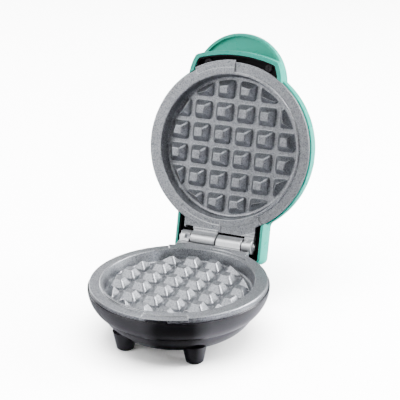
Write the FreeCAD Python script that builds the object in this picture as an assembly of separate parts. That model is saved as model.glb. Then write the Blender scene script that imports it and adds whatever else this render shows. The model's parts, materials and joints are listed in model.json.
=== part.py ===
"""Round mini waffle maker: black bowl on four feet, coloured lid, two like castings on one hinge pin.

Millimetres, +Z up. The origin is on the table, under the centre of the round base. The hinge is at
the back (+Y). Lid pieces are drawn with the lid shut and then turned open about the hinge pin, which
is their rest pose.
"""
import FreeCAD
import Part
import math
import os

# Driving dimensions
PARTING_Z = 43.0        # height of the hinge axis, and of the plane where lid and base meet
HINGE_Y = 70.2          # hinge axis behind the centre
LID_OPEN = 106.0        # degrees from shut to the stop
FLANGE_GAP = 0.3        # between the two castings when shut

PLATE_R = 62.3          # outer edge of a casting's flange
CAVITY_R = 53.3         # mouth of the cooking cavity
FLOOR_R = 52.1
CAVITY_DEPTH = 9.3
FLANGE_T = 2.6
FLOOR_T = 2.6
SKIRT_H = 3.8           # the flange's outer edge turns down by this much
SKIRT_T = 2.0
STEP_R = 54.9           # inner edge of the flange's lowered land
STEP_DEPTH = 1.2
FINE_STEP = 0.65
FRONT_TAB_START, FRONT_TAB_SWEEP = 275.0, 12.0      # the shell's tab in the skirt's notch, degrees
FRONT_TAB_DROP = 1.7    # top of that tab below the flange

PEG_PITCH = 16.85
PEG_BASE = 13.7
PEG_KNEE, PEG_KNEE_H = 12.5, 1.9        # a peg is steep up to the knee and leans more above it
PEG_TOP = 6.2
PEG_HEIGHT = 7.0
PEG_LEAN = 0.6          # the outer pegs' round side leans in by this much per millimetre
PEG_ROWS = 6
PEG_FIELD_R = 49.4
PEG_BASE_CORNER, PEG_KNEE_CORNER, PEG_TOP_CORNER = 2.3, 2.0, 1.0
PEG_TOP_EDGE = 0.8      # rounding of a peg's upper edge
PEG_FOOT_EDGE = 0.6     # rounding where a peg meets the floor

TAB_HALF = 28.0         # the tab that carries the hinge barrels
TAB_END_Y = 63.2
BARREL_R = 5.5
BARREL_WEB_H = 2.6      # the web behind a barrel stands this much above the flange
WIDE_BARREL = (0.75, 20.0)
SMALL_BARREL = (-28.0, -20.75)
PIN_R = 1.5
PIN_BORE_R = 1.56

SHELL_R = 63.5          # outer radius of both shells at the rim
SHELL_T = 2.2
CREASE_R, CREASE_Z = 54.6, 22.0
CREASE_STEP = 0.6       # the bottom is set in by this much below the crease
BOTTOM_R, BOTTOM_Z = 36.0, 7.5
FOOT_X, FRONT_FOOT_Y = 26.2, -33.0
REAR_FOOT_X, REAR_FOOT_Y = 21.0, 55.0
FOOT_TOP_R, FOOT_TIP_R = 8.6, 6.1
PAD_R, PAD_H = 4.9, 2.6
HOUSING_HALF, HOUSING_BACK = 29.5, 66.1
HOUSING_LOW, HOUSING_HIGH = 11.5, 36.5

DOME_H = 28.5           # top of the lid above the parting plane
LIP_SIDE_R, LIP_FRONT, LIP_ARC_R = 36.3, 70.6, 100.0
LIP_CORNER_R = 4.0
BILL_R, BILL_Y = 35.8, -48.0
BILL_LOW, BILL_HIGH = 10.0, 20.0
BILL_RIM = 2.3          # width of the rim round the bill's hollow underside
TAIL_HALF, TAIL_BULGE = 34.0, 36.2
TAIL_END = 83.4
TAIL_H = 17.5
TAIL_CORNER_R = 5.0
BILL_JUNCTION_R = 2.0   # inner corners where handle and tail meet the dome
TAIL_JUNCTION_R = 4.0
WALL_LOW = 0.3          # lower edge of the handle and tail walls above the parting plane

HANDLE_WALL = 3.0
LINER_LOW, LINER_T = 6.5, 1.5
LINER_SCREWS = [(-23.8, -60.5), (23.8, -60.5), (-24.5, 77.1), (24.5, 77.1)]

BOSS_R, BOSS_LOW = 3.4, -17.0
BOSSES = [(-FOOT_X, FRONT_FOOT_Y), (FOOT_X, FRONT_FOOT_Y), (-FOOT_X, 30.0), (FOOT_X, 30.0)]
SCREW_R, SCREW_HOLE_R, SCREW_HEAD_R, SCREW_HEAD_H = 1.25, 1.3, 2.6, 1.6

HEATER_RING_R, HEATER_R = 30.0, 3.1
HEATER_GAP_DEG = 22.0
CLAMP_BOSS_RING_R, CLAMP_BOSS_R = 18.0, 2.6
CLAMP_T = 1.2
SHIELD_T = 0.6
SHIELD_HAT_R, SHIELD_R = 34.5, 48.0
SHIELD_HAT_LOW = -22.0

CORD_R, CORD_Z = 3.2, 19.0
CORD_POST_X, CORD_POST_Y = 8.0, 52.0
BUSH_R, BUSH_INSIDE = 5.45, 5.0
LEAD_R = 0.9
SLEEVE_R = 1.3
SLEEVE_X, SLEEVE_BEND_R = -12.0, 7.6
LENS_Y, LENS_R = 39.5, 3.0
LAMP_R, LAMP_Z = 1.4, 19.75

UNDERSIDE = -(CAVITY_DEPTH + FLOOR_T)          # back of a casting's floor, from its flange plane
HEATER_Z = UNDERSIDE - HEATER_R - 0.05
CLAMP_Z = HEATER_Z - HEATER_R - 0.05           # face of the clamp plate that holds the heater
LOWER_FLANGE_Z = PARTING_Z - FLANGE_GAP / 2
RIM_Z = LOWER_FLANGE_Z - SKIRT_H

X_AXIS = FreeCAD.Vector(1, 0, 0)
Y_AXIS = FreeCAD.Vector(0, 1, 0)
Z_AXIS = FreeCAD.Vector(0, 0, 1)
ORIGIN = FreeCAD.Vector(0, 0, 0)


# Small helpers

def point(x, y, z):
    return FreeCAD.Vector(x, y, z)


def cylinder(radius, x, y, low, high):
    return Part.makeCylinder(radius, high - low, point(x, y, low), Z_AXIS)


def cross_cylinder(radius, x_low, x_high, y, z):
    """A cylinder along X."""
    return Part.makeCylinder(radius, x_high - x_low, point(x_low, y, z), X_AXIS)


def box(x_low, x_high, y_low, y_high, z_low, z_high):
    return Part.makeBox(x_high - x_low, y_high - y_low, z_high - z_low, point(x_low, y_low, z_low))


def ring(outer, inner, low, high):
    return cylinder(outer, 0, 0, low, high).cut(cylinder(inner, 0, 0, low - 1, high + 1))


def revolve(edges, start=0.0, sweep=360.0):
    """Turns a closed outline of edges in the XZ plane about the Z axis."""
    face = Part.Face(Part.Wire(Part.__sortEdges__(edges)))
    face.rotate(ORIGIN, Z_AXIS, start)
    return face.revolve(ORIGIN, Z_AXIS, sweep)


def outline(points):
    """Straight edges through (radius, height) points, closed."""
    spots = [point(r, 0, z) for r, z in points]
    return [Part.makeLine(a, b) for a, b in zip(spots, spots[1:] + spots[:1])]


def line(a, b):
    return Part.makeLine(point(a[0], 0, a[1]), point(b[0], 0, b[1]))


def arc(a, middle, b):
    return Part.Arc(point(a[0], 0, a[1]), point(middle[0], 0, middle[1]), point(b[0], 0, b[1])).toShape()


def sector(inner, outer, low, high, start, sweep):
    """Part of a ring, from angle start, over sweep degrees."""
    corners = [(inner, low), (outer, low), (outer, high), (inner, high)]
    return revolve(outline(corners), start, sweep)


def extrude_x(points, x_low, x_high):
    """A prism along X with an outline of (y, z) points."""
    spots = [point(x_low, y, z) for y, z in points]
    return Part.Face(Part.makePolygon(spots + spots[:1])).extrude(point(x_high - x_low, 0, 0))


def drill(radius, x, y, low, high):
    """A cylinder to cut away, a little longer than the stock at both ends."""
    return cylinder(radius, x, y, low - 1, high + 1)


def tube(points, radius):
    """A round lead along straight runs with rounded corners."""
    pieces = [Part.makeSphere(radius, p) for p in points]
    for a, b in zip(points, points[1:]):
        pieces.append(Part.makeCylinder(radius, (b - a).Length, a, b - a))
    return pieces[0].multiFuse(pieces[1:])


def screw(x, y, head_z, tip_z):
    """A pan-head screw whose shank runs from head_z to tip_z."""
    up = 1 if tip_z > head_z else -1
    shank = cylinder(SCREW_R, x, y, min(head_z, tip_z), max(head_z, tip_z))
    base = head_z - up * SCREW_HEAD_H
    head = cylinder(SCREW_HEAD_R, x, y, min(head_z, base), max(head_z, base))
    depth, long, thin = 0.7, 1.5, 0.35
    low = base if up > 0 else base - depth
    for half_x, half_y in ((long, thin), (thin, long)):
        head = head.cut(box(x - half_x, x + half_x, y - half_y, y + half_y, low, low + depth))
    return head.fuse(shank)


def fillet(shape, radius, chosen):
    """Rounds the edges for which chosen(edge) is true."""
    edges = [e for e in shape.Edges if chosen(e)]
    return shape.makeFillet(radius, edges) if edges else shape


def is_circle(edge, radius, z, slack=0.02):
    """Is this edge an arc of that radius lying level at that height?"""
    if not hasattr(edge.Curve, "Radius"):
        return False
    level = abs(edge.BoundBox.ZMin - z) < slack and abs(edge.BoundBox.ZMax - z) < slack
    return level and abs(edge.Curve.Radius - radius) < slack


def group(shapes):
    return Part.makeCompound(shapes)


def place_lower(shape):
    """From a casting's own frame, flange plane at 0 and food side up, to the base."""
    shape = shape.copy()
    shape.translate(point(0, 0, LOWER_FLANGE_Z))
    return shape


def place_upper(shape):
    """From a casting's own frame to the shut lid, food side down, and then open."""
    shape = shape.copy()
    shape.rotate(ORIGIN, Y_AXIS, 180)
    shape.translate(point(0, 0, FLANGE_GAP / 2))
    return place_lid(shape)


def place_lid(shape):
    """From the shut lid's frame, parting plane at 0, to the open lid."""
    shape = shape.copy()
    shape.translate(point(0, 0, PARTING_Z))
    shape.rotate(point(0, HINGE_Y, PARTING_Z), X_AXIS, -LID_OPEN)
    return shape


# The casting, used twice

def rounded_square(side, corner, z):
    half, inner = side / 2, side / 2 - corner
    edges = []
    for turn in range(4):
        edge = Part.makeLine(point(half, -inner, z), point(half, inner, z))
        bend = Part.makeCircle(corner, point(inner, inner, z), Z_AXIS, 0, 90)
        for piece in (edge, bend):
            piece.rotate(ORIGIN, Z_AXIS, 90 * turn)
            edges.append(piece)
    return Part.Wire(Part.__sortEdges__(edges))


def pegs():
    """Blunt pyramids on a square grid. The four corners of the grid are left empty."""
    floor, top = -CAVITY_DEPTH, PEG_HEIGHT - CAVITY_DEPTH
    one = Part.makeLoft([rounded_square(PEG_BASE, PEG_BASE_CORNER, floor - 0.2),
                         rounded_square(PEG_KNEE, PEG_KNEE_CORNER, floor + PEG_KNEE_H),
                         rounded_square(PEG_TOP, PEG_TOP_CORNER, top)], True, True)
    field = Part.makeCone(PEG_FIELD_R + PEG_LEAN, PEG_FIELD_R - PEG_LEAN * (PEG_HEIGHT + 1),
                          PEG_HEIGHT + 2, point(0, 0, floor - 1), Z_AXIS)
    last = (PEG_ROWS - 1) / 2
    found = []
    for row in range(PEG_ROWS):
        for column in range(PEG_ROWS):
            x, y = (column - last), (row - last)
            if abs(x) == last and abs(y) == last:
                continue
            peg = one.copy()
            peg.translate(point(x * PEG_PITCH, y * PEG_PITCH, 0))
            reach = (max(abs(x), abs(y)) + 0.5) * PEG_PITCH
            if math.hypot(x, y) * PEG_PITCH + PEG_BASE / 2 > PEG_FIELD_R or reach > PEG_FIELD_R:
                peg = peg.common(field)
            found.append(fillet(peg, PEG_TOP_EDGE, lambda e: e.BoundBox.ZMin > top - 0.01))
    return found


def barrel(x_low, x_high):
    """One hinge knuckle with the web that joins it to the tab."""
    front, ramp_y = TAB_END_Y - 1.2, 64.0
    web = extrude_x([(front, -SKIRT_H), (front, 0.0), (ramp_y, 0.0), (ramp_y + 1.3, BARREL_WEB_H),
                     (HINGE_Y, BARREL_WEB_H), (HINGE_Y, -SKIRT_H)], x_low, x_high)
    return web.fuse(cross_cylinder(BARREL_R, x_low, x_high, HINGE_Y, FLANGE_GAP / 2))


def plate_disc():
    """The round dish of a casting: floor, sloping wall, flange and down-turned rim."""
    edge = 1.0
    return revolve([
        line((0, -CAVITY_DEPTH), (FLOOR_R - 1.6, -CAVITY_DEPTH)),
        arc((FLOOR_R - 1.6, -CAVITY_DEPTH), (FLOOR_R - 0.45, -CAVITY_DEPTH + 0.5),
            (FLOOR_R + 0.1, -CAVITY_DEPTH + 1.7)),
        line((FLOOR_R + 0.1, -CAVITY_DEPTH + 1.7), (CAVITY_R - 0.1, -0.5)),
        arc((CAVITY_R - 0.1, -0.5), (CAVITY_R + 0.1, -0.12), (CAVITY_R + 0.5, 0)),
        line((CAVITY_R + 0.5, 0), (PLATE_R - edge, 0)),
        arc((PLATE_R - edge, 0), (PLATE_R - edge * 0.293, -edge * 0.293), (PLATE_R, -edge)),
        line((PLATE_R, -edge), (PLATE_R, -SKIRT_H)),
        line((PLATE_R, -SKIRT_H), (PLATE_R - SKIRT_T, -SKIRT_H)),
        line((PLATE_R - SKIRT_T, -SKIRT_H), (PLATE_R - SKIRT_T, -FLANGE_T)),
        line((PLATE_R - SKIRT_T, -FLANGE_T), (CAVITY_R + 2.6, -FLANGE_T)),
        line((CAVITY_R + 2.6, -FLANGE_T), (FLOOR_R + 2.4, UNDERSIDE)),
        line((FLOOR_R + 2.4, UNDERSIDE), (0, UNDERSIDE)),
        line((0, UNDERSIDE), (0, -CAVITY_DEPTH)),
    ])


def hinge_tab():
    """The flat tab behind the dish that the barrels stand on, with a notch for the other barrel."""
    top = -0.35
    tab = box(-TAB_HALF, TAB_HALF, 54.5, TAB_END_Y, -SKIRT_H, top)
    height = SKIRT_H + top
    tab = fillet(tab, 2.0, lambda e: abs(e.BoundBox.ZLength - height) < 0.01 and e.BoundBox.YMin > 60)
    notch = box(-SMALL_BARREL[1], -SMALL_BARREL[0] - 1.2, TAB_END_Y - 2.0, TAB_END_Y + 1, -SKIRT_H - 1, 1)
    return tab.cut([drill(FLOOR_R + 2.5, 0, 0, -SKIRT_H, 0), notch])


def casting():
    """Cooking plate in its own frame: flange plane at Z 0, food side up, hinge at +Y."""
    front_lip = sector(PLATE_R - 3, SHELL_R + 0.4, -FLANGE_T, -FINE_STEP, 270.5, 29.5)
    body = plate_disc().multiFuse([hinge_tab(), front_lip, barrel(*WIDE_BARREL), barrel(*SMALL_BARREL)])
    body = body.multiFuse(pegs())
    pin_bore = cross_cylinder(PIN_BORE_R, -TAB_HALF - 2, TAB_HALF + 2, HINGE_Y, FLANGE_GAP / 2)
    barrel_nick = box(-24.4, SMALL_BARREL[1] + 0.1, 64.4, 67.2, 1.4, BARREL_R + 1)
    notch_low, notch_high = -SKIRT_H - 0.1, -FRONT_TAB_DROP + 0.3
    front_notch = sector(PLATE_R - SKIRT_T - 0.6, SHELL_R + 2, notch_low, notch_high,
                         FRONT_TAB_START - 0.7, FRONT_TAB_SWEEP + 1.4)
    body = body.cut(flange_steps() + [pin_bore, barrel_nick, front_notch])
    return add_bosses(fillet(body, PEG_FOOT_EDGE, meets_floor))


def meets_floor(edge):
    """Is this edge where a peg grows out of the cavity's floor?"""
    b, longest = edge.BoundBox, PEG_BASE * 1.4
    level = abs(b.ZMin + CAVITY_DEPTH) < 0.01 and abs(b.ZMax + CAVITY_DEPTH) < 0.01
    x, y, _ = edge.CenterOfMass
    return level and edge.Length < longest and math.hypot(x, y) < PEG_FIELD_R + 0.5


def flange_steps():
    """The lowered half of the flange and the fine steps in the other half, as solids to cut away."""
    top = 0.5
    outer = SHELL_R + 2
    return [
        sector(STEP_R, outer, -STEP_DEPTH, top, 121.0, 149.5),
        sector(58.5, outer, -FINE_STEP, top, 271.0, 29.0),
        sector(58.0, outer, -FINE_STEP, top, 91.0, 26.5),
        sector(STEP_R, 58.0, -FINE_STEP, top, 56.0, 34.0),
    ]


def add_bosses(body):
    """Screw bosses on the back: four for the shell, three for the heater's clamp plate."""
    solids, holes = [], []
    for x, y in BOSSES:
        solids.append(cylinder(BOSS_R, x, y, BOSS_LOW, UNDERSIDE + 0.5))
        holes.append(cylinder(SCREW_HOLE_R, x, y, BOSS_LOW - 1, UNDERSIDE - 0.3))
    for x, y in clamp_boss_places():
        solids.append(cylinder(CLAMP_BOSS_R, x, y, CLAMP_Z, UNDERSIDE + 0.5))
        holes.append(cylinder(SCREW_HOLE_R, x, y, CLAMP_Z - 1, UNDERSIDE - 0.3))
    return body.multiFuse(solids).cut(holes)


def clamp_boss_places():
    angles = [math.radians(a) for a in (270, 30, 150)]
    return [(CLAMP_BOSS_RING_R * math.cos(a), CLAMP_BOSS_RING_R * math.sin(a)) for a in angles]


# Heating parts in the casting's frame, used twice

def heater_ends():
    angles = [math.radians(90 + side * HEATER_GAP_DEG / 2) for side in (-1, 1)]
    return [(HEATER_RING_R * math.cos(a), HEATER_RING_R * math.sin(a)) for a in angles]


def heater():
    """Open ring of sheathed element with both ends turned away from the casting."""
    circle = Part.makeCircle(HEATER_R, point(HEATER_RING_R, 0, HEATER_Z), Y_AXIS)
    section = Part.Face(Part.Wire(circle))
    section.rotate(ORIGIN, Z_AXIS, 90 + HEATER_GAP_DEG / 2)
    body = section.revolve(ORIGIN, Z_AXIS, 360 - HEATER_GAP_DEG)
    for x, y in heater_ends():
        body = body.fuse(Part.makeSphere(HEATER_R, point(x, y, HEATER_Z)))
        body = body.fuse(cylinder(HEATER_R - 0.6, x, y, -20.4, HEATER_Z))
    return body


def heater_bushes():
    """Ceramic bush and terminal pin on each end of the element."""
    found = []
    for x, y in heater_ends():
        socket = cylinder(HEATER_R - 0.55, x, y, -20.45, -19.0)
        bush = cylinder(3.7, x, y, -21.9, -19.6).cut(socket)
        terminal = cylinder(0.9, x, y, -23.6, -21.8)
        found.append(bush.fuse(terminal))
    return group(found)


def clamp_plate():
    """Ring that holds the element against the casting."""
    low, high = CLAMP_Z - CLAMP_T, CLAMP_Z - 0.02
    plate = ring(SHIELD_HAT_R - 1.0, 14.0, low, high)
    holes = [drill(4.2, x, y, low, high) for x, y in heater_ends()]
    holes += [drill(SCREW_R + 0.2, x, y, low, high) for x, y in clamp_boss_places()]
    return plate.cut(holes)


def clamp_screws():
    low = CLAMP_Z - CLAMP_T
    return group([screw(x, y, low, UNDERSIDE - 1.0) for x, y in clamp_boss_places()])


def heat_shield():
    """Thin steel hat over the element, with a flat rim under the four bosses."""
    hat, rim, low = SHIELD_HAT_R, BOSS_LOW - 0.02, SHIELD_HAT_LOW
    under = BOSS_LOW - SHIELD_T
    body = revolve(outline([(0, low), (hat, low), (hat, under), (SHIELD_R, under), (SHIELD_R, rim),
                            (hat - SHIELD_T, rim), (hat - SHIELD_T, low + SHIELD_T),
                            (0, low + SHIELD_T)]))
    holes = [drill(9.0, 0, 0, low, rim)]
    holes += [drill(4.3, x, y, low, rim) for x, y in heater_ends()]
    holes += [drill(SCREW_R + 0.2, x, y, low, rim) for x, y in BOSSES]
    return body.cut(holes)


# Base

def bowl_wall(inset):
    """The bowl's side and bottom, moved inwards by inset, as edges. The outside has a crease."""
    rim = SHELL_R - inset
    wall_end = (CREASE_R - inset * 0.8, CREASE_Z + inset * 0.5)
    below_crease = (CREASE_R - CREASE_STEP, CREASE_Z - CREASE_STEP * 0.3)
    bottom_start = wall_end if inset else below_crease
    bottom_edge = (BOTTOM_R - inset * 0.3, BOTTOM_Z + inset)
    edges = [
        line((rim, RIM_Z), (rim, 37.5)),
        arc((rim, 37.5), (61.4 - inset, 30.2), wall_end),
        arc(bottom_start, (47.4 - inset * 0.6, 12.7 + inset * 0.75), bottom_edge),
        line(bottom_edge, (0, BOTTOM_Z + inset)),
        line((0, BOTTOM_Z + inset), (0, RIM_Z)),
        line((0, RIM_Z), (rim, RIM_Z)),
    ]
    if not inset:
        edges.append(line(wall_end, bottom_start))
    return edges


def foot_cone(x, y, top):
    return Part.makeCone(FOOT_TIP_R, FOOT_TOP_R, top - 0.9, point(x, y, 0.9), Z_AXIS)


def feet():
    """Places of the four feet, with the height where each one ends inside the shell."""
    front = [(side * FOOT_X, FRONT_FOOT_Y, 13.5) for side in (-1, 1)]
    return front + [(side * REAR_FOOT_X, REAR_FOOT_Y, 14.0) for side in (-1, 1)]


def screw_posts():
    """Post and through hole for each of the four screws that hold the lower plate."""
    post_top = LOWER_FLANGE_Z + BOSS_LOW - SHIELD_T - 0.02
    head_z = post_top - 3.0
    inside = revolve(bowl_wall(0))
    posts = [cylinder(4.4, x, y, BOTTOM_Z + 0.5, post_top).common(inside) for x, y in BOSSES]
    holes = [cylinder(3.1, x, y, -1, head_z) for x, y in BOSSES]
    holes += [cylinder(SCREW_R + 0.25, x, y, 0, post_top + 1) for x, y in BOSSES]
    return posts, holes, head_z


def hinge_housing(inset):
    """The block at the back of the bowl, or the room inside it when inset by a wall."""
    low, high, back = HOUSING_LOW + inset, HOUSING_HIGH - inset, HOUSING_BACK - inset
    block = box(-HOUSING_HALF + inset, HOUSING_HALF - inset, 40 + inset, back, low, high)
    if inset:
        return block
    block = fillet(block, 4.0, lambda e: e.BoundBox.YMin > 60 and e.BoundBox.ZLength > 20)
    return fillet(block, 1.5, lambda e: e.BoundBox.YMin > 55 and e.BoundBox.ZMax < low + 0.1)


def cord_post_places():
    return [(side * CORD_POST_X, CORD_POST_Y) for side in (-1, 1)]


def base_shell():
    bowl = revolve(bowl_wall(0))
    solid = bowl.multiFuse([hinge_housing(0)] + [foot_cone(*f) for f in feet()])
    solid = solid.cut([revolve(bowl_wall(SHELL_T)), hinge_housing(SHELL_T)])
    posts, cuts, _ = screw_posts()
    posts += [cylinder(3.0, x, y, HOUSING_LOW + 1, CORD_Z + 3.1) for x, y in cord_post_places()]
    front_tab = sector(PLATE_R - 1.3, SHELL_R - 0.2, RIM_Z - 0.5, LOWER_FLANGE_Z - FRONT_TAB_DROP,
                       FRONT_TAB_START, FRONT_TAB_SWEEP)
    solid = solid.multiFuse(posts + [front_tab])
    cuts += [cylinder(PAD_R + 0.1, x, y, -1, PAD_H) for x, y, _ in feet()]
    cuts += [cylinder(SCREW_HOLE_R, x, y, HOUSING_LOW + 2, CORD_Z + 4) for x, y in cord_post_places()]
    cuts.append(Part.makeCylinder(BUSH_R + 0.15, 10, point(0, HOUSING_BACK - 5, CORD_Z), Y_AXIS))
    cuts.append(box(SLEEVE_X - 2.2, SLEEVE_X + 2.2, 58.5, HOUSING_BACK + 1, 32.2, HOUSING_HIGH + 1))
    return solid.cut(cuts)


def foot_pads():
    return group([cylinder(PAD_R, x, y, 0, PAD_H - 0.1) for x, y, _ in feet()])


def plate_screws():
    _, _, head_z = screw_posts()
    tip = LOWER_FLANGE_Z + UNDERSIDE - 1.0
    return group([screw(x, y, head_z, tip) for x, y in BOSSES])


def thermostat():
    """Disc thermostat pressed on the middle of the lower plate, with two blade terminals."""
    top = UNDERSIDE - 0.03
    body = cylinder(7.5, 0, 0, top - 4.2, top).fuse(cylinder(6.0, 0, 0, top - 6.2, top - 4.1))
    blades = [box(x - 1.5, x + 1.5, -0.4, 0.4, top - 10.5, top - 6.1) for x in (-3.6, 3.6)]
    return body.multiFuse(blades)


def thermal_fuse():
    body = cross_cylinder(1.8, -5.5, 5.5, -10.8, UNDERSIDE - 2.0)
    return body.fuse(cross_cylinder(0.5, -8.5, 8.5, -10.8, UNDERSIDE - 2.0))


def terminal_block():
    """Block with two wire holes along Y and a screw hole down to each."""
    half, front, back, wire_z = 11.0, 22.5, 32.5, 13.6
    block = box(-half, half, front, back, BOTTOM_Z + SHELL_T + 0.05, 17.6)
    for x in (-half / 2, half / 2):
        wire_hole = Part.makeCylinder(1.6, 20, point(x, front - 4.5, wire_z), Y_AXIS)
        block = block.cut([wire_hole, cylinder(1.9, x, 27.5, wire_z + 0.4, 20)])
    return block


def cord_bush():
    """Flanged strain relief in the back wall. The cord itself is left out."""
    back = HOUSING_BACK
    collar = Part.makeCylinder(7.4, 1.8, point(0, back + 0.05, CORD_Z), Y_AXIS)
    nose = Part.makeCone(5.4, 4.5, 8.5, point(0, back + 1.8, CORD_Z), Y_AXIS)
    body = Part.makeCylinder(BUSH_R, 8.0, point(0, back - BUSH_INSIDE, CORD_Z), Y_AXIS)
    body = body.multiFuse([collar, nose])
    core_r, groove_w, first_groove, groove_pitch = 4.3, 0.9, 3.4, 2.3
    for turn in range(3):
        low = back + first_groove + turn * groove_pitch
        groove = Part.makeCylinder(9, groove_w, point(0, low, CORD_Z), Y_AXIS)
        body = body.cut(groove.cut(Part.makeCylinder(core_r, 3, point(0, low - 1, CORD_Z), Y_AXIS)))
    return body.cut(Part.makeCylinder(CORD_R, 30, point(0, back - 10, CORD_Z), Y_AXIS))


def cord_clamp():
    """Bar over the cord, on two posts."""
    low, high = CORD_Z + 3.15, CORD_Z + 5.4
    bar = box(-11, 11, CORD_POST_Y - 3, CORD_POST_Y + 3, low, high)
    return bar.cut([drill(SCREW_R + 0.2, x, y, low, high) for x, y in cord_post_places()])


def cord_clamp_screws():
    return group([screw(x, y, CORD_Z + 5.4, CORD_Z - 4) for x, y in cord_post_places()])


def base_leads():
    """Two supply leads to the terminal block and two leads on to the thermostat."""
    found = []
    for side in (-1, 1):
        found.append(tube([point(side * 2.2, 48.5, CORD_Z), point(side * 3.5, 42, 15.5),
                           point(side * 5.5, 36, 13.6), point(side * 5.5, 29.5, 13.6)], LEAD_R))
        found.append(tube([point(side * 5.5, 25.0, 13.6), point(side * 5.5, 12, 13.6),
                           point(side * 3.6, 2.5, 16.2), point(side * 3.6, 1.5, 19.0)], LEAD_R))
    return group(found)


# Hinge

def hinge_pin():
    pin = cross_cylinder(PIN_R, -28.7, 29.7, HINGE_Y, PARTING_Z)
    return pin.fuse(cross_cylinder(2.7, -29.6, -28.6, HINGE_Y, PARTING_Z))


def pin_washer():
    disc = cross_cylinder(3.0, 28.6, 29.3, HINGE_Y, PARTING_Z)
    return disc.cut(cross_cylinder(PIN_R + 0.02, 20, 35, HINGE_Y, PARTING_Z))


def hinge_sleeve():
    """Flexible sleeve that carries the leads round the back of the pin. It bends as the lid turns."""
    first, last, run = -118.0, -60.0, 5.0
    centre = point(SLEEVE_X, HINGE_Y, PARTING_Z)
    circle = Part.makeCircle(SLEEVE_R, centre + point(0, SLEEVE_BEND_R, 0), Z_AXIS)
    section = Part.Face(Part.Wire(circle))
    section.rotate(centre, X_AXIS, first)
    bend = section.revolve(centre, X_AXIS, last - first)
    ends = []
    for angle in (first, last):
        a = math.radians(angle)
        ends.append(centre + point(0, SLEEVE_BEND_R * math.cos(a), SLEEVE_BEND_R * math.sin(a)))
    away = math.radians(90 - LID_OPEN)
    entry = tube([point(SLEEVE_X, 60.5, 33.6), ends[0]], SLEEVE_R)
    exit_run = tube([ends[1], ends[1] + point(0, run * math.cos(away), run * math.sin(away))], SLEEVE_R)
    return bend.multiFuse([entry, exit_run])


# Lid, drawn shut with the parting plane at Z 0

def dome(inset):
    """The round part of the lid: upright rim, round shoulder, slightly crowned top."""
    rim_r = SHELL_R - inset
    low, wall_top, top = SKIRT_H + FLANGE_GAP / 2 + 0.02, 12.0, DOME_H - inset
    shoulder = (61.0 - inset * 0.85, 18.2 - inset * 0.45)
    crown = (53.0 - inset * 0.5, 23.0 - inset * 0.9)
    return revolve([
        line((0, low), (rim_r, low)),
        arc((rim_r, low), (rim_r + 0.25, 8.0), (rim_r, wall_top)),
        arc((rim_r, wall_top), shoulder, crown),
        arc(crown, (28.0, 27.1 - inset), (0, top)),
        line((0, top), (0, low)),
    ])


def lip_block(inset, low, high):
    """The handle's block: round sides, a shallow front arc and rounded corners."""
    block = box(-50, 50, -LIP_FRONT - 2, -45, low, high)
    block = block.common(cylinder(LIP_SIDE_R - inset, 0, BILL_Y, low - 1, high + 1))
    front = cylinder(LIP_ARC_R - inset, 0, LIP_ARC_R - LIP_FRONT, low - 1, high + 1)
    block = block.common(front)
    height = high - low
    return fillet(block, LIP_CORNER_R - inset * 0.5,
                  lambda e: abs(e.BoundBox.ZLength - height) < 0.01 and e.BoundBox.YMax < -55)


def bill():
    body = cylinder(BILL_R, 0, BILL_Y, BILL_LOW, BILL_HIGH)
    body = fillet(body, 5.0, lambda e: is_circle(e, BILL_R, BILL_HIGH))
    body = fillet(body, 1.0, lambda e: is_circle(e, BILL_R, BILL_LOW))
    recess = cylinder(BILL_R - BILL_RIM, 0, BILL_Y, BILL_LOW - 1, BILL_LOW + 2.6)
    return body.cut(recess)


def tail_block(inset, low):
    """The box behind the dome that wraps round the hinge, with bulging sides and round shoulders."""
    half, bulge, top = TAIL_HALF - inset, TAIL_BULGE - inset, TAIL_H - inset
    waist, shoulder, front, end = 9.0, 7.5, 46.0, TAIL_END - inset
    edges = [line((-half, low), (half, low)), line((-bulge + shoulder, top), (bulge - shoulder, top))]
    for side in (-1, 1):
        widest = (side * bulge, waist)
        knee = (side * (bulge - shoulder * 0.3), top - shoulder * 0.3)
        edges.append(arc((side * half, low), (side * (bulge - 0.35), waist * 0.55), widest))
        edges.append(arc(widest, knee, (side * (bulge - shoulder), top)))
    section = Part.Face(Part.Wire(Part.__sortEdges__(edges)))
    section.translate(point(0, front, 0))
    block = section.extrude(point(0, end - front, 0))
    return fillet(block, TAIL_CORNER_R - inset,
                  lambda e: e.BoundBox.YMin > end - 0.01 and e.BoundBox.ZMax > low + 0.1)


def handle_block():
    """The handle's block with its upper edges rounded where they run into the bill."""
    top = BILL_LOW + 3.0
    return fillet(lip_block(0, WALL_LOW, top), 4.0,
                  lambda e: e.BoundBox.ZMin > top - 0.01 and e.BoundBox.YMin < -45.1)


def meets_bill(edge):
    """Is this edge where the bill grows out of the dome?"""
    b = edge.BoundBox
    return b.YMin > -60 and b.YMax < -50 and b.ZMin > 11.9


def meets_tail(edge):
    """Is this edge where the tail grows out of the dome?"""
    b = edge.BoundBox
    return b.YMin > 50 and b.YMax < 62 and b.ZMin > 11.9


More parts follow.
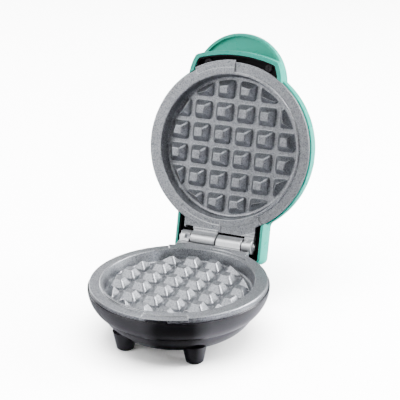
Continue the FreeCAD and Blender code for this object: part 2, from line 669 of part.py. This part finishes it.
def lid_shell():
    solid = dome(0).multiFuse([bill(), handle_block(), tail_block(0, WALL_LOW)]).removeSplitter()
    solid = fillet(solid, BILL_JUNCTION_R, meets_bill)
    solid = fillet(solid, TAIL_JUNCTION_R, meets_tail)
    handle_room = lip_block(HANDLE_WALL, WALL_LOW - 1, BILL_HIGH - HANDLE_WALL)
    tail_room = tail_block(SHELL_T, WALL_LOW - 1)
    plate_room = cylinder(PLATE_R + 0.3, 0, 0, -1, SKIRT_H + FLANGE_GAP / 2 + 0.02)
    solid = solid.cut([dome(SHELL_T), handle_room, tail_room, plate_room])
    posts = []
    for x, y in LINER_SCREWS:
        top = BILL_HIGH - 2.0 if y < 0 else TAIL_H - 1.0
        posts.append(cylinder(3.2, x, y, LINER_LOW + LINER_T + 0.05, top))
    cuts = [cylinder(SCREW_HOLE_R, x, y, LINER_LOW, 14.5) for x, y in LINER_SCREWS]
    cuts.append(cylinder(LENS_R + 0.15, 0, LENS_Y, 20, 30))
    return solid.multiFuse(posts).cut(cuts)


def lid_liner():
    """Black tray behind the upper plate, with upstands inside the handle and the tail."""
    low, high, gap, thin, hoop_inner = LINER_LOW, LINER_LOW + LINER_T, 0.25, 1.0, 57.0
    upstand_low = WALL_LOW + 0.9
    handle = lip_block(HANDLE_WALL + gap, upstand_low, high)
    handle = handle.cut(lip_block(HANDLE_WALL + gap + thin, upstand_low - 1, low))
    tail_space = tail_block(SHELL_T + gap + thin, upstand_low - 1)
    tail = tail_block(SHELL_T + gap, upstand_low)
    tail = tail.cut(tail_space.common(box(-50, 50, 0, 100, -5, low)))
    tail = tail.cut(box(-50, 50, 0, 100, high, 40))
    hoop = ring(SHELL_R - SHELL_T - gap, hoop_inner, low, high)
    plate_room = cylinder(PLATE_R + 0.2, 0, 0, -1, low).fuse(cylinder(SHELL_R + 0.7, 0, 0, -1, 3.4))
    middle = drill(hoop_inner, 0, 0, low, high)
    solid = hoop.multiFuse([block.cut(plate_room).cut(middle) for block in (handle, tail)])
    cuts = [drill(SCREW_R + 0.2, x, y, low, high) for x, y in LINER_SCREWS]
    cuts.append(cylinder(SLEEVE_R * 2, SLEEVE_X, HINGE_Y + 5.2, 0, 20))
    return solid.cut(cuts)


def liner_screws():
    return group([screw(x, y, LINER_LOW - 0.03, 13.5) for x, y in LINER_SCREWS])


def shield_screws():
    """Screws from the upper shield into the upper plate's bosses, in the casting's frame."""
    head_z = BOSS_LOW - SHIELD_T - 0.03
    return group([screw(x, y, head_z, UNDERSIDE - 1.0) for x, y in BOSSES])


def indicator_lens():
    """Clear lens in the top of the lid: flange inside, stem, slightly domed cap."""
    stem_top = 25.9
    stem = cylinder(LENS_R, 0, LENS_Y, 22.4, stem_top)
    ball = Part.makeSphere(LENS_R * 2, point(0, LENS_Y, stem_top - 5.0))
    cap = ball.common(cylinder(LENS_R, 0, LENS_Y, stem_top - 0.1, 30))
    flange = cylinder(LENS_R + 0.9, 0, LENS_Y, 21.8, 22.5)
    return stem.multiFuse([cap, flange])


def indicator_lamp():
    tip = point(0, 36.5, LAMP_Z)
    return Part.makeCylinder(LAMP_R, 7, tip, Y_AXIS).fuse(Part.makeSphere(LAMP_R, tip))


def lamp_holder():
    holder = box(-3.6, 3.6, 37.5, 45.0, 17.9, 21.6)
    bore = Part.makeCylinder(LAMP_R + 0.05, 14, point(0, 30, LAMP_Z), Y_AXIS)
    slot = box(-1.0, 1.0, 30, 42, LAMP_Z, 25)
    return holder.cut([bore, slot])


def lid_leads():
    """Two leads from the hinge to the upper heater, round the lamp."""
    found = []
    for side in (-1, 1):
        found.append(tube([point(side * 10 - 1, 66, 11.5), point(side * 10, 57, 14.5),
                           point(side * 9, 50.5, 17.2), point(side * 8, 46.5, 19.8),
                           point(side * 6.4, 37.5, 22.6), point(side * 5.7, 33.0, 23.2),
                           point(side * 5.7, 31.6, 23.2)], LEAD_R))
    return group(found)


def main():
    os.makedirs("parts", exist_ok=True)
    plate = casting()
    shared = {"heater": heater(), "heater_bushes": heater_bushes(), "clamp_plate": clamp_plate(),
              "clamp_screws": clamp_screws(), "heat_shield": heat_shield()}
    nodes = {"lower_plate": place_lower(plate), "upper_plate": place_upper(plate)}
    for name, shape in shared.items():
        nodes["lower_" + name] = place_lower(shape)
        nodes["upper_" + name] = place_upper(shape)
    nodes["thermostat"] = place_lower(thermostat())
    nodes["thermal_fuse"] = place_lower(thermal_fuse())
    nodes["shield_screws"] = place_upper(shield_screws())
    base_pieces = [base_shell, foot_pads, plate_screws, terminal_block, cord_bush, cord_clamp,
                   cord_clamp_screws, base_leads, hinge_pin, pin_washer, hinge_sleeve]
    lid_pieces = [lid_shell, lid_liner, liner_screws, indicator_lens, indicator_lamp, lamp_holder,
                  lid_leads]
    for piece in base_pieces:
        nodes[piece.__name__] = piece()
    for piece in lid_pieces:
        nodes[piece.__name__] = place_lid(piece())
    for name, shape in sorted(nodes.items()):
        shape.exportStep(os.path.join("parts", name + ".step"))
        state = "valid" if shape.isValid() else "BROKEN"
        print(name, len(shape.Solids), "solids", round(shape.Volume, 1), "mm3", state)


main()
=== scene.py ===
"""Looks for the round mini waffle maker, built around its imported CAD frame. Metres, +Z up."""
import bpy
import json
import math
from mathutils import Matrix, Vector


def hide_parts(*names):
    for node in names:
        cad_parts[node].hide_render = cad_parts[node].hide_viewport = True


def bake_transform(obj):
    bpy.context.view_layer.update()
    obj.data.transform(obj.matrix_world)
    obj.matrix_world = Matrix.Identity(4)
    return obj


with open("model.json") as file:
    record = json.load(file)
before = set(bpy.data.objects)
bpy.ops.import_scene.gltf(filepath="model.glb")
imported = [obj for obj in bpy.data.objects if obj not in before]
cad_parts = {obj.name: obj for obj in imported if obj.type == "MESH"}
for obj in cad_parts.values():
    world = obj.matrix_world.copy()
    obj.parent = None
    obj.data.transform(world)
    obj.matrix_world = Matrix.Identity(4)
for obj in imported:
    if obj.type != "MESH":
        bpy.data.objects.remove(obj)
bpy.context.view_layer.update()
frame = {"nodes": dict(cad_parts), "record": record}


MM = 0.001

# Camera
AZIMUTH, ELEVATION, ROLL = 23.645, 21.375, -0.656      # degrees
DISTANCE = 0.98108
LENS, SENSOR = 125.12, 36.0                            # millimetres
TARGET = Vector((0.00059, 0.03733, 0.08816))

# Hinge: its axis, the angle that the lid stands open, and the reach of the painted highlight that makes its
# barrels paler
HINGE_Y, HINGE_Z = 0.0702, 0.043
LID_OPEN = 106.0                                       # degrees
BARREL_PALE, BARREL_END = 6.2 * MM, 7.4 * MM

# Lead sleeve: it enters under the pin, bends round it between two angles and runs into the lid
SLEEVE_X = -0.012
SLEEVE_R = 1.3 * MM
SLEEVE_ENTRY = (0.0605, 0.0336)
SLEEVE_BEND_R = 7.6 * MM
SLEEVE_FIRST, SLEEVE_LAST = -118.0, -60.0              # degrees
SLEEVE_RUN = 5.0 * MM
SLEEVE_STEPS = {"entry": 6, "bend": 24, "run": 5}
SLEEVE_SIDES = 20

# Room: a floor that curves up into a far wall, and a twin just under it that is only reflected
FLOOR_HALF, WALL_Y, WALL_TOP = 3.5, 2.4, 3.0
WALL_BEND_R, WALL_BEND_STEPS = 0.9, 12
BOUNCE_DROP = 0.5 * MM
WORLD_STRENGTH = 0.09

# Greys of the reflected floor by the turn round the object: a painted shadow in front and painted light to
# the right, which the bowl reflects
BOUNCE_GREYS = [(0.0, 0.30), (0.155, 0.30), (0.190, 0.022), (0.285, 0.022), (0.335, 0.50), (0.50, 0.50),
                (0.62, 0.20), (0.90, 0.20)]
# A paler ring on it, by the distance from the middle in metres. It lights the bowl's crease.
BOUNCE_RING = [(0.046, 0.0), (0.051, 0.10), (0.056, 0.10), (0.064, 0.0)]
BOUNCE_TINT = (0.96, 0.95, 1.06)

# Lights look at this point from an azimuth and an elevation in degrees
LIT_POINT = Vector((0.0, 0.02, 0.07))
# name: azimuth, elevation, distance in metres, size in metres, watts
LIGHTS = {
    "key_low": (-47.0, 6.0, 1.5, (0.7, 0.6), 10.0),
    "key_high": (-36.0, 44.0, 1.5, (0.9, 0.8), 18.0),
    "front_top": (5.0, 62.0, 1.4, (1.0, 0.6), 2.0),
    "ridge": (90.0, 56.0, 1.3, (0.3, 0.3), 11.0),
    "rim_right": (118.0, 20.0, 1.1, (0.35, 0.9), 48.0),
    "rim_left": (-124.0, 21.0, 1.3, (0.6, 0.9), 15.0),
    "back": (180.0, 45.0, 1.5, (1.2, 0.7), 10.0),
    "floor_wash": (0.0, 88.0, 2.2, (2.2, 2.2), 760.0),
}

# Scales that draw a noise out into lines along one axis
ALONG_Y, ALONG_Z = (1.0, 0.15, 1.0), (1.0, 1.0, 0.3)
# slot: dark and light colour, range of roughness, run of the lines, and how metallic if not fully
METALS = {
    "steel": ((0.46, 0.46, 0.47), (0.62, 0.62, 0.63), (0.24, 0.40), ALONG_Y),
    "steel_black": ((0.018, 0.018, 0.020), (0.040, 0.040, 0.043), (0.30, 0.45), ALONG_Y, 0.8),
    "heater_sheath": ((0.10, 0.095, 0.09), (0.22, 0.21, 0.20), (0.40, 0.60), ALONG_Z, 0.8),
}
# slot: dark and light colour, range of roughness, then grain per metre and its depth if not the usual
PLASTICS = {
    "ceramic": ((0.70, 0.68, 0.63), (0.80, 0.78, 0.74), (0.50, 0.65)),
    "rubber_black": ((0.012, 0.012, 0.012), (0.028, 0.028, 0.029), (0.65, 0.85), 1100.0, 0.04 * MM),
    "phenolic": ((0.055, 0.030, 0.018), (0.085, 0.048, 0.028), (0.35, 0.50)),
    "lead_sleeving": ((0.60, 0.59, 0.56), (0.72, 0.71, 0.68), (0.60, 0.75), 2400.0, 0.05 * MM),
}


# Node helpers

class Nodes:
    """A material's node tree with short calls for the nodes that the materials here share."""

    def __init__(self, name):
        self.material = bpy.data.materials.new(name)
        self.material.use_nodes = True
        self.tree = self.material.node_tree
        self.shader = self.tree.nodes["Principled BSDF"]
        self.place = self.add("ShaderNodeTexCoord").outputs["Object"]

    def add(self, kind, **settings):
        node = self.tree.nodes.new(kind)
        for name, value in settings.items():
            setattr(node, name, value)
        return node

    def link(self, source, target):
        self.tree.links.new(source, target)

    def set(self, **values):
        """Sets numbers on the shader. An underscore in a name stands for a space."""
        for name, value in values.items():
            self.shader.inputs[name.replace("_", " ")].default_value = value

    def noise(self, per_metre, detail=3.0, rough=0.55, stretch=None):
        node = self.add("ShaderNodeTexNoise")
        node.inputs["Scale"].default_value = per_metre
        node.inputs["Detail"].default_value = detail
        node.inputs["Roughness"].default_value = rough
        place = self.place
        if stretch:
            mapping = self.add("ShaderNodeMapping")
            mapping.inputs["Scale"].default_value = stretch
            self.link(place, mapping.inputs["Vector"])
            place = mapping.outputs["Vector"]
        self.link(place, node.inputs["Vector"])
        return node.outputs["Fac"]

    def span(self, value, low, high, start=0.3, end=0.7):
        """A number from low to high as value goes from start to end."""
        node = self.add("ShaderNodeMapRange")
        node.inputs["From Min"].default_value = start
        node.inputs["From Max"].default_value = end
        node.inputs["To Min"].default_value = low
        node.inputs["To Max"].default_value = high
        self.link(value, node.inputs["Value"])
        return node.outputs["Result"]

    def ramp(self, value, stops):
        """A colour by value, from stops of (value, colour)."""
        node = self.add("ShaderNodeValToRGB")
        elements = node.color_ramp.elements
        while len(elements) < len(stops):
            elements.new(0.5)
        for element, (at, colour) in zip(elements, stops):
            element.position = at
            element.color = (*colour, 1.0)
        self.link(value, node.inputs["Fac"])
        return node.outputs["Color"]

    def combine(self, share, a, b, way="MIX"):
        """Mixes or adds two colours. Each of the three may be a value or a socket."""
        node = self.add("ShaderNodeMix", data_type="RGBA", blend_type=way)
        for index, value in ((0, share), (6, a), (7, b)):
            if isinstance(value, tuple):
                node.inputs[index].default_value = (*value, 1.0)
            elif isinstance(value, float):
                node.inputs[index].default_value = value
            else:
                self.link(value, node.inputs[index])
        return node.outputs[2]

    def edges(self, radius, high, low=0.02):
        """1 on edges that a small rounding would turn by more than high, 0 where it is under low."""
        rounded = self.add("ShaderNodeBevel", samples=6)
        rounded.inputs["Radius"].default_value = radius
        flat = self.add("ShaderNodeNewGeometry")
        dot = self.add("ShaderNodeVectorMath", operation="DOT_PRODUCT")
        self.link(rounded.outputs["Normal"], dot.inputs[0])
        self.link(flat.outputs["Normal"], dot.inputs[1])
        return self.span(dot.outputs["Value"], 0.0, 1.0, 1.0 - low, 1.0 - high)

    def length(self, vector):
        node = self.add("ShaderNodeVectorMath", operation="LENGTH")
        self.link(vector, node.inputs[0])
        return node.outputs["Value"]

    def near_hinge(self, most=0.6):
        """The number most on the hinge barrels, 0 elsewhere."""
        offset = self.add("ShaderNodeVectorMath", operation="MULTIPLY_ADD")
        offset.inputs[1].default_value = (0.0, 1.0, 1.0)
        offset.inputs[2].default_value = (0.0, -HINGE_Y, -HINGE_Z)
        self.link(self.place, offset.inputs[0])
        return self.span(self.length(offset.outputs["Vector"]), most, 0.0, BARREL_PALE, BARREL_END)

    def bump(self, heights, soften=None):
        """Adds up bumps given as (height socket, depth in metres), on softened edges if asked."""
        normal = None
        if soften:
            rounded = self.add("ShaderNodeBevel", samples=6)
            rounded.inputs["Radius"].default_value = soften
            normal = rounded.outputs["Normal"]
        for height, depth in heights:
            node = self.add("ShaderNodeBump")
            node.inputs["Distance"].default_value = depth
            node.inputs["Strength"].default_value = 1.0
            self.link(height, node.inputs["Height"])
            if normal:
                self.link(normal, node.inputs["Normal"])
            normal = node.outputs["Normal"]
        self.link(normal, self.shader.inputs["Normal"])

    def colour(self, socket):
        self.link(socket, self.shader.inputs["Base Color"])

    def roughness(self, socket):
        self.link(socket, self.shader.inputs["Roughness"])


# Materials

def nonstick_grey():
    """Sprayed grey non-stick coat: fine speckle, satin metallic sheen, a little lighter along its edges,
    partly from wear and partly a painted highlight on the ridges.
    """
    dark_speck, light_speck = (0.120, 0.127, 0.141), (0.440, 0.455, 0.485)
    dark_patch, light_patch = (0.265, 0.274, 0.292), (0.310, 0.320, 0.340)
    edge_wear_and_highlight, barrel = (0.70, 0.715, 0.74), (0.78, 0.79, 0.81)
    patch_share = 0.25
    n = Nodes("nonstick_grey")
    speckle = n.noise(1000.0, rough=0.65)
    coat = n.ramp(speckle, [(0.34, dark_speck), (0.66, light_speck)])
    patch = n.ramp(n.noise(60.0), [(0.3, dark_patch), (0.7, light_patch)])
    body = n.combine(patch_share, coat, patch)
    # Paler edges: partly wear, partly a painted highlight that lights the pegs' ridges
    edges_worn_and_highlit = n.combine(n.edges(0.6 * MM, high=0.12), body, edge_wear_and_highlight)
    # The hinge barrels are painted paler: a painted highlight
    n.colour(n.combine(n.near_hinge(), edges_worn_and_highlit, barrel))
    n.roughness(n.span(speckle, 0.34, 0.46))
    n.set(Metallic=0.85, IOR=1.5)
    n.bump([(speckle, 0.05 * MM)], soften=0.6 * MM)
    return n.material


def lid_aqua():
    """Glossy moulded plastic: soft orange-peel, and paler edges that are partly faint handling haze and
    partly a painted highlight on the rims.
    """
    dark, light, edge = (0.018, 0.400, 0.304), (0.024, 0.430, 0.328), (0.110, 0.600, 0.490)
    n = Nodes("lid_aqua")
    body = n.ramp(n.noise(35.0, detail=2.0), [(0.3, dark), (0.7, light)])
    # Paler edges: partly handling haze, partly a painted highlight along the rims
    n.colour(n.combine(n.edges(0.9 * MM, high=0.2), body, edge))
    n.roughness(n.span(n.noise(90.0, detail=4.0), 0.24, 0.34))
    n.set(IOR=1.46, Specular_IOR_Level=0.4)
    peel, wave = n.noise(420.0, detail=1.0), n.noise(25.0, detail=1.0)
    n.bump([(peel, 0.004 * MM), (wave, 0.05 * MM)], soften=0.4 * MM)
    return n.material


def base_black():
    """Glossy black plastic with a slight ripple and a fine haze."""
    dark, light = (0.0040, 0.0037, 0.0056), (0.0076, 0.0070, 0.0098)
    n = Nodes("base_black")
    haze = n.noise(120.0, detail=5.0, rough=0.6)
    n.colour(n.ramp(haze, [(0.35, dark), (0.75, light)]))
    n.roughness(n.span(haze, 0.14, 0.24))
    n.set(IOR=1.5, Coat_Weight=0.35, Coat_Roughness=0.05)
    peel, wave = n.noise(420.0, detail=1.0), n.noise(28.0, detail=1.0)
    n.bump([(peel, 0.008 * MM), (wave, 0.10 * MM)], soften=0.4 * MM)
    return n.material


def liner_black():
    """Matt black plastic with a fine spark-eroded grain."""
    dark, light = (0.0025, 0.0027, 0.0032), (0.0065, 0.0069, 0.0078)
    n = Nodes("liner_black")
    grain = n.noise(3200.0, detail=2.0, rough=0.7)
    n.colour(n.ramp(grain, [(0.35, dark), (0.7, light)]))
    n.roughness(n.span(grain, 0.60, 0.75))
    n.set(Specular_IOR_Level=0.15)
    n.bump([(grain, 0.03 * MM)], soften=0.3 * MM)
    return n.material


def metal(name, dark, light, rough, stretch, metallic=1.0):
    """Drawn or rolled metal: faint stains, and fine lines along one axis."""
    n = Nodes(name)
    lines = n.noise(900.0, stretch=stretch)
    stain = n.noise(140.0, detail=4.0)
    n.colour(n.ramp(stain, [(0.3, dark), (0.7, light)]))
    n.roughness(n.span(lines, *rough))
    n.set(Metallic=metallic)
    n.bump([(lines, 0.006 * MM)], soften=0.15 * MM)
    return n.material


def plastic(name, dark, light, rough, grain=1500.0, depth=0.02 * MM):
    """A dull surface with a fine grain."""
    n = Nodes(name)
    speck = n.noise(grain)
    n.colour(n.ramp(speck, [(0.3, dark), (0.7, light)]))
    n.roughness(n.span(speck, *rough))
    n.bump([(speck, depth)], soften=0.2 * MM)
    return n.material


def lens_clear():
    """Amber lens of the indicator light."""
    dark, light = (0.80, 0.56, 0.36), (0.86, 0.62, 0.42)
    n = Nodes("lens_clear")
    ripple = n.noise(700.0, detail=2.0)
    n.colour(n.ramp(ripple, [(0.3, dark), (0.7, light)]))
    n.roughness(n.span(ripple, 0.06, 0.14))
    n.set(Transmission_Weight=0.85, IOR=1.49)
    n.bump([(ripple, 0.01 * MM)])
    return n.material


def lamp_glass():
    """Tinted glass of the neon lamp."""
    dark, light = (0.75, 0.40, 0.22), (0.85, 0.50, 0.30)
    n = Nodes("lamp_glass")
    tint = n.noise(300.0, detail=2.0)
    n.colour(n.ramp(tint, [(0.3, dark), (0.7, light)]))
    n.roughness(n.span(tint, 0.04, 0.10))
    n.set(Transmission_Weight=0.6, IOR=1.5)
    return n.material


def materials():
    """One material for each slot of the record."""
    found = {
        "nonstick_grey": nonstick_grey(),
        "lid_aqua": lid_aqua(),
        "base_black": base_black(),
        "liner_black": liner_black(),
        "lens_clear": lens_clear(),
        "lamp_glass": lamp_glass(),
    }
    for name, recipe in METALS.items():
        found[name] = metal(name, *recipe)
    for name, recipe in PLASTICS.items():
        found[name] = plastic(name, *recipe)
    return found


def dress(found):
    """Gives every CAD node the material of its slot in the record."""
    slots = {part["node"]: part["material_slot"] for part in frame["record"]["subparts"]}
    for name, item in frame["nodes"].items():
        item.data.materials.clear()
        item.data.materials.append(found[slots[name]])
        item.data.polygons.foreach_set("use_smooth", [True] * len(item.data.polygons))


# Objects

def put_in_scene(name, data):
    """A new object with this data."""
    item = bpy.data.objects.new(name, data)
    bpy.context.scene.collection.objects.link(item)
    return item


def shape(name, points, faces, material):
    """A new mesh object that is smooth on its four-sided faces."""
    mesh = bpy.data.meshes.new(name)
    mesh.from_pydata(points, [], faces)
    mesh.polygons.foreach_set("use_smooth", [len(face) == 4 for face in faces])
    mesh.materials.append(material)
    return put_in_scene(name, mesh)


def towards(azimuth, elevation):
    """Unit vector from the object to a viewer, by angles in degrees. Azimuth 0 is in front."""
    az, el = math.radians(azimuth), math.radians(elevation)
    return Vector((math.sin(az) * math.cos(el), -math.cos(az) * math.cos(el), math.sin(el)))


# Sleeve

def arc(middle, radius, first, last, steps):
    """Points on an arc in a plane, with its angles in degrees."""
    angles = [math.radians(first + (last - first) * step / steps) for step in range(steps + 1)]
    return [(middle[0] + radius * math.cos(a), middle[1] + radius * math.sin(a)) for a in angles]


def line(a, b, steps):
    """Points from a towards b, without b."""
    return [(a[0] + (b[0] - a[0]) * i / steps, a[1] + (b[1] - a[1]) * i / steps) for i in range(steps)]


def tube(path, x, radius, sides):
    """Points and faces of a closed tube round a path of (y, z) at one x."""
    points, faces = [], []
    for i, (y, z) in enumerate(path):
        before, after = path[max(i - 1, 0)], path[min(i + 1, len(path) - 1)]
        run = Vector((0.0, after[0] - before[0], after[1] - before[1])).normalized()
        out = Vector((0.0, -run.z, run.y))
        for side in range(sides):
            a = math.tau * side / sides
            offset = Vector((math.cos(a), 0.0, 0.0)) + out * math.sin(a)
            points.append(Vector((x, y, z)) + offset * radius)
    for i in range(len(path) - 1):
        for side in range(sides):
            a, b = i * sides + side, i * sides + (side + 1) % sides
            faces.append((a, a + sides, b + sides, b))
    faces.append(tuple(range(sides)))
    faces.append(tuple(reversed(range(len(points) - sides, len(points)))))
    return points, faces


def sleeve(material):
    """The lead sleeve: out of the base, round the pin, into the lid, its last run along the lid at its open
    angle.
    """
    bend = arc((HINGE_Y, HINGE_Z), SLEEVE_BEND_R, SLEEVE_FIRST, SLEEVE_LAST, SLEEVE_STEPS["bend"])
    away = math.radians(90.0 - LID_OPEN)
    tip = (bend[-1][0] + SLEEVE_RUN * math.cos(away), bend[-1][1] + SLEEVE_RUN * math.sin(away))
    entry = line(SLEEVE_ENTRY, bend[0], SLEEVE_STEPS["entry"])
    run = line(bend[-1], tip, SLEEVE_STEPS["run"])
    points, faces = tube(entry + bend[:-1] + run + [tip], SLEEVE_X, SLEEVE_R, SLEEVE_SIDES)
    item = shape("lead_sleeve", points, faces, material)
    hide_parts("hinge_sleeve")
    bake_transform(item)


# Room

def sweep(name, drop, material):
    """A floor that curves up into a far wall, lowered by drop."""
    bend_y = WALL_Y - WALL_BEND_R
    curve = arc((bend_y, WALL_BEND_R), WALL_BEND_R, -90.0, 0.0, WALL_BEND_STEPS)
    profile = [(-FLOOR_HALF, 0.0)] + curve + [(WALL_Y, WALL_TOP)]
    points = [(x, y, z - drop) for x in (-FLOOR_HALF, FLOOR_HALF) for y, z in profile]
    count = len(profile)
    faces = [(i, count + i, count + i + 1, i + 1) for i in range(count - 1)]
    item = shape(name, points, faces, material)
    item.matrix_world = Matrix.Rotation(math.radians(AZIMUTH), 4, "Z")
    return item


def paper_finish(n, fibre):
    """The dull surface of paper, on a material that has its colour."""
    n.roughness(n.span(fibre, 0.60, 0.75))
    n.set(Specular_IOR_Level=0.2)
    return n.material


def paper(name, low, high):
    """White paper with a faint fibre."""
    n = Nodes(name)
    fibre = n.noise(300.0, detail=4.0)
    n.colour(n.ramp(fibre, [(0.3, (low, low, low)), (0.7, (high, high, high))]))
    return paper_finish(n, fibre)


def tinted(stops):
    """The stops with each grey turned into a colour."""
    return [(at, tuple(grey * part for part in BOUNCE_TINT)) for at, grey in stops]


def paper_round(name):
    """Paper whose grey changes with the angle round the object, plus a ring: a painted shadow in front and
    painted light at the sides and on the ring, all for the bowl to reflect.

    A turn of 0.25 is towards the camera, 0.5 to its right and 0.75 away from it.
    """
    n = Nodes(name)
    around = n.add("ShaderNodeTexGradient", gradient_type="RADIAL")
    n.link(n.place, around.inputs["Vector"])
    grey = n.ramp(around.outputs["Fac"], tinted(BOUNCE_GREYS))
    ring = n.ramp(n.length(n.place), tinted(BOUNCE_RING))
    n.colour(n.combine(1.0, grey, ring, way="ADD"))
    return paper_finish(n, n.noise(300.0, detail=4.0))


def floor():
    """The white floor that is seen, and its twin that is only reflected."""
    seen = sweep("floor", 0.0, paper("paper", 0.86, 0.89))
    seen.visible_diffuse = False
    seen.visible_glossy = False
    seen.visible_transmission = False
    bounce = sweep("floor_bounce", BOUNCE_DROP, paper_round("paper_bounce"))
    bounce.visible_camera = False
    bounce.visible_shadow = False
    return seen, bounce


def light(name, azimuth, elevation, distance, size, watts):
    """A soft box that looks at the object."""
    way = towards(azimuth, elevation)
    data = bpy.data.lights.new(name, "AREA")
    data.shape = "RECTANGLE"
    data.size, data.size_y = size
    data.energy = watts
    item = put_in_scene(name, data)
    item.rotation_euler = (-way).to_track_quat("-Z", "Y").to_euler()
    item.location = LIT_POINT + way * distance
    return item


def lights(floors):
    """The soft boxes, one of which lights only the floors, and a faint even world."""
    boxes = {name: light(name, *setting) for name, setting in LIGHTS.items()}
    lit = bpy.data.collections.new("lit_by_wash")
    for item in floors:
        lit.objects.link(item)
    boxes["floor_wash"].light_linking.receiver_collection = lit
    world = bpy.data.worlds.new("studio")
    world.use_nodes = True
    background = world.node_tree.nodes["Background"]
    background.inputs["Color"].default_value = (1.0, 1.0, 1.0, 1.0)
    background.inputs["Strength"].default_value = WORLD_STRENGTH
    bpy.context.scene.world = world


def camera():
    """The photo's camera, with its small roll."""
    roll = math.radians(ROLL)
    back = towards(AZIMUTH, ELEVATION)
    right = Vector((-back.y, back.x, 0.0)).normalized()
    up = back.cross(right)
    turned_right = right * math.cos(roll) + up * math.sin(roll)
    turned_up = up * math.cos(roll) - right * math.sin(roll)
    data = bpy.data.cameras.new("camera")
    data.lens, data.sensor_width = LENS, SENSOR
    data.clip_start, data.clip_end = 0.01, 20.0
    item = put_in_scene("camera", data)
    turn = Matrix((turned_right, turned_up, back)).transposed().to_4x4()
    item.matrix_world = Matrix.Translation(TARGET + back * DISTANCE) @ turn
    bpy.context.scene.camera = item


finishes = materials()
dress(finishes)
sleeve(finishes["lead_sleeving"])
lights(floor())
camera()
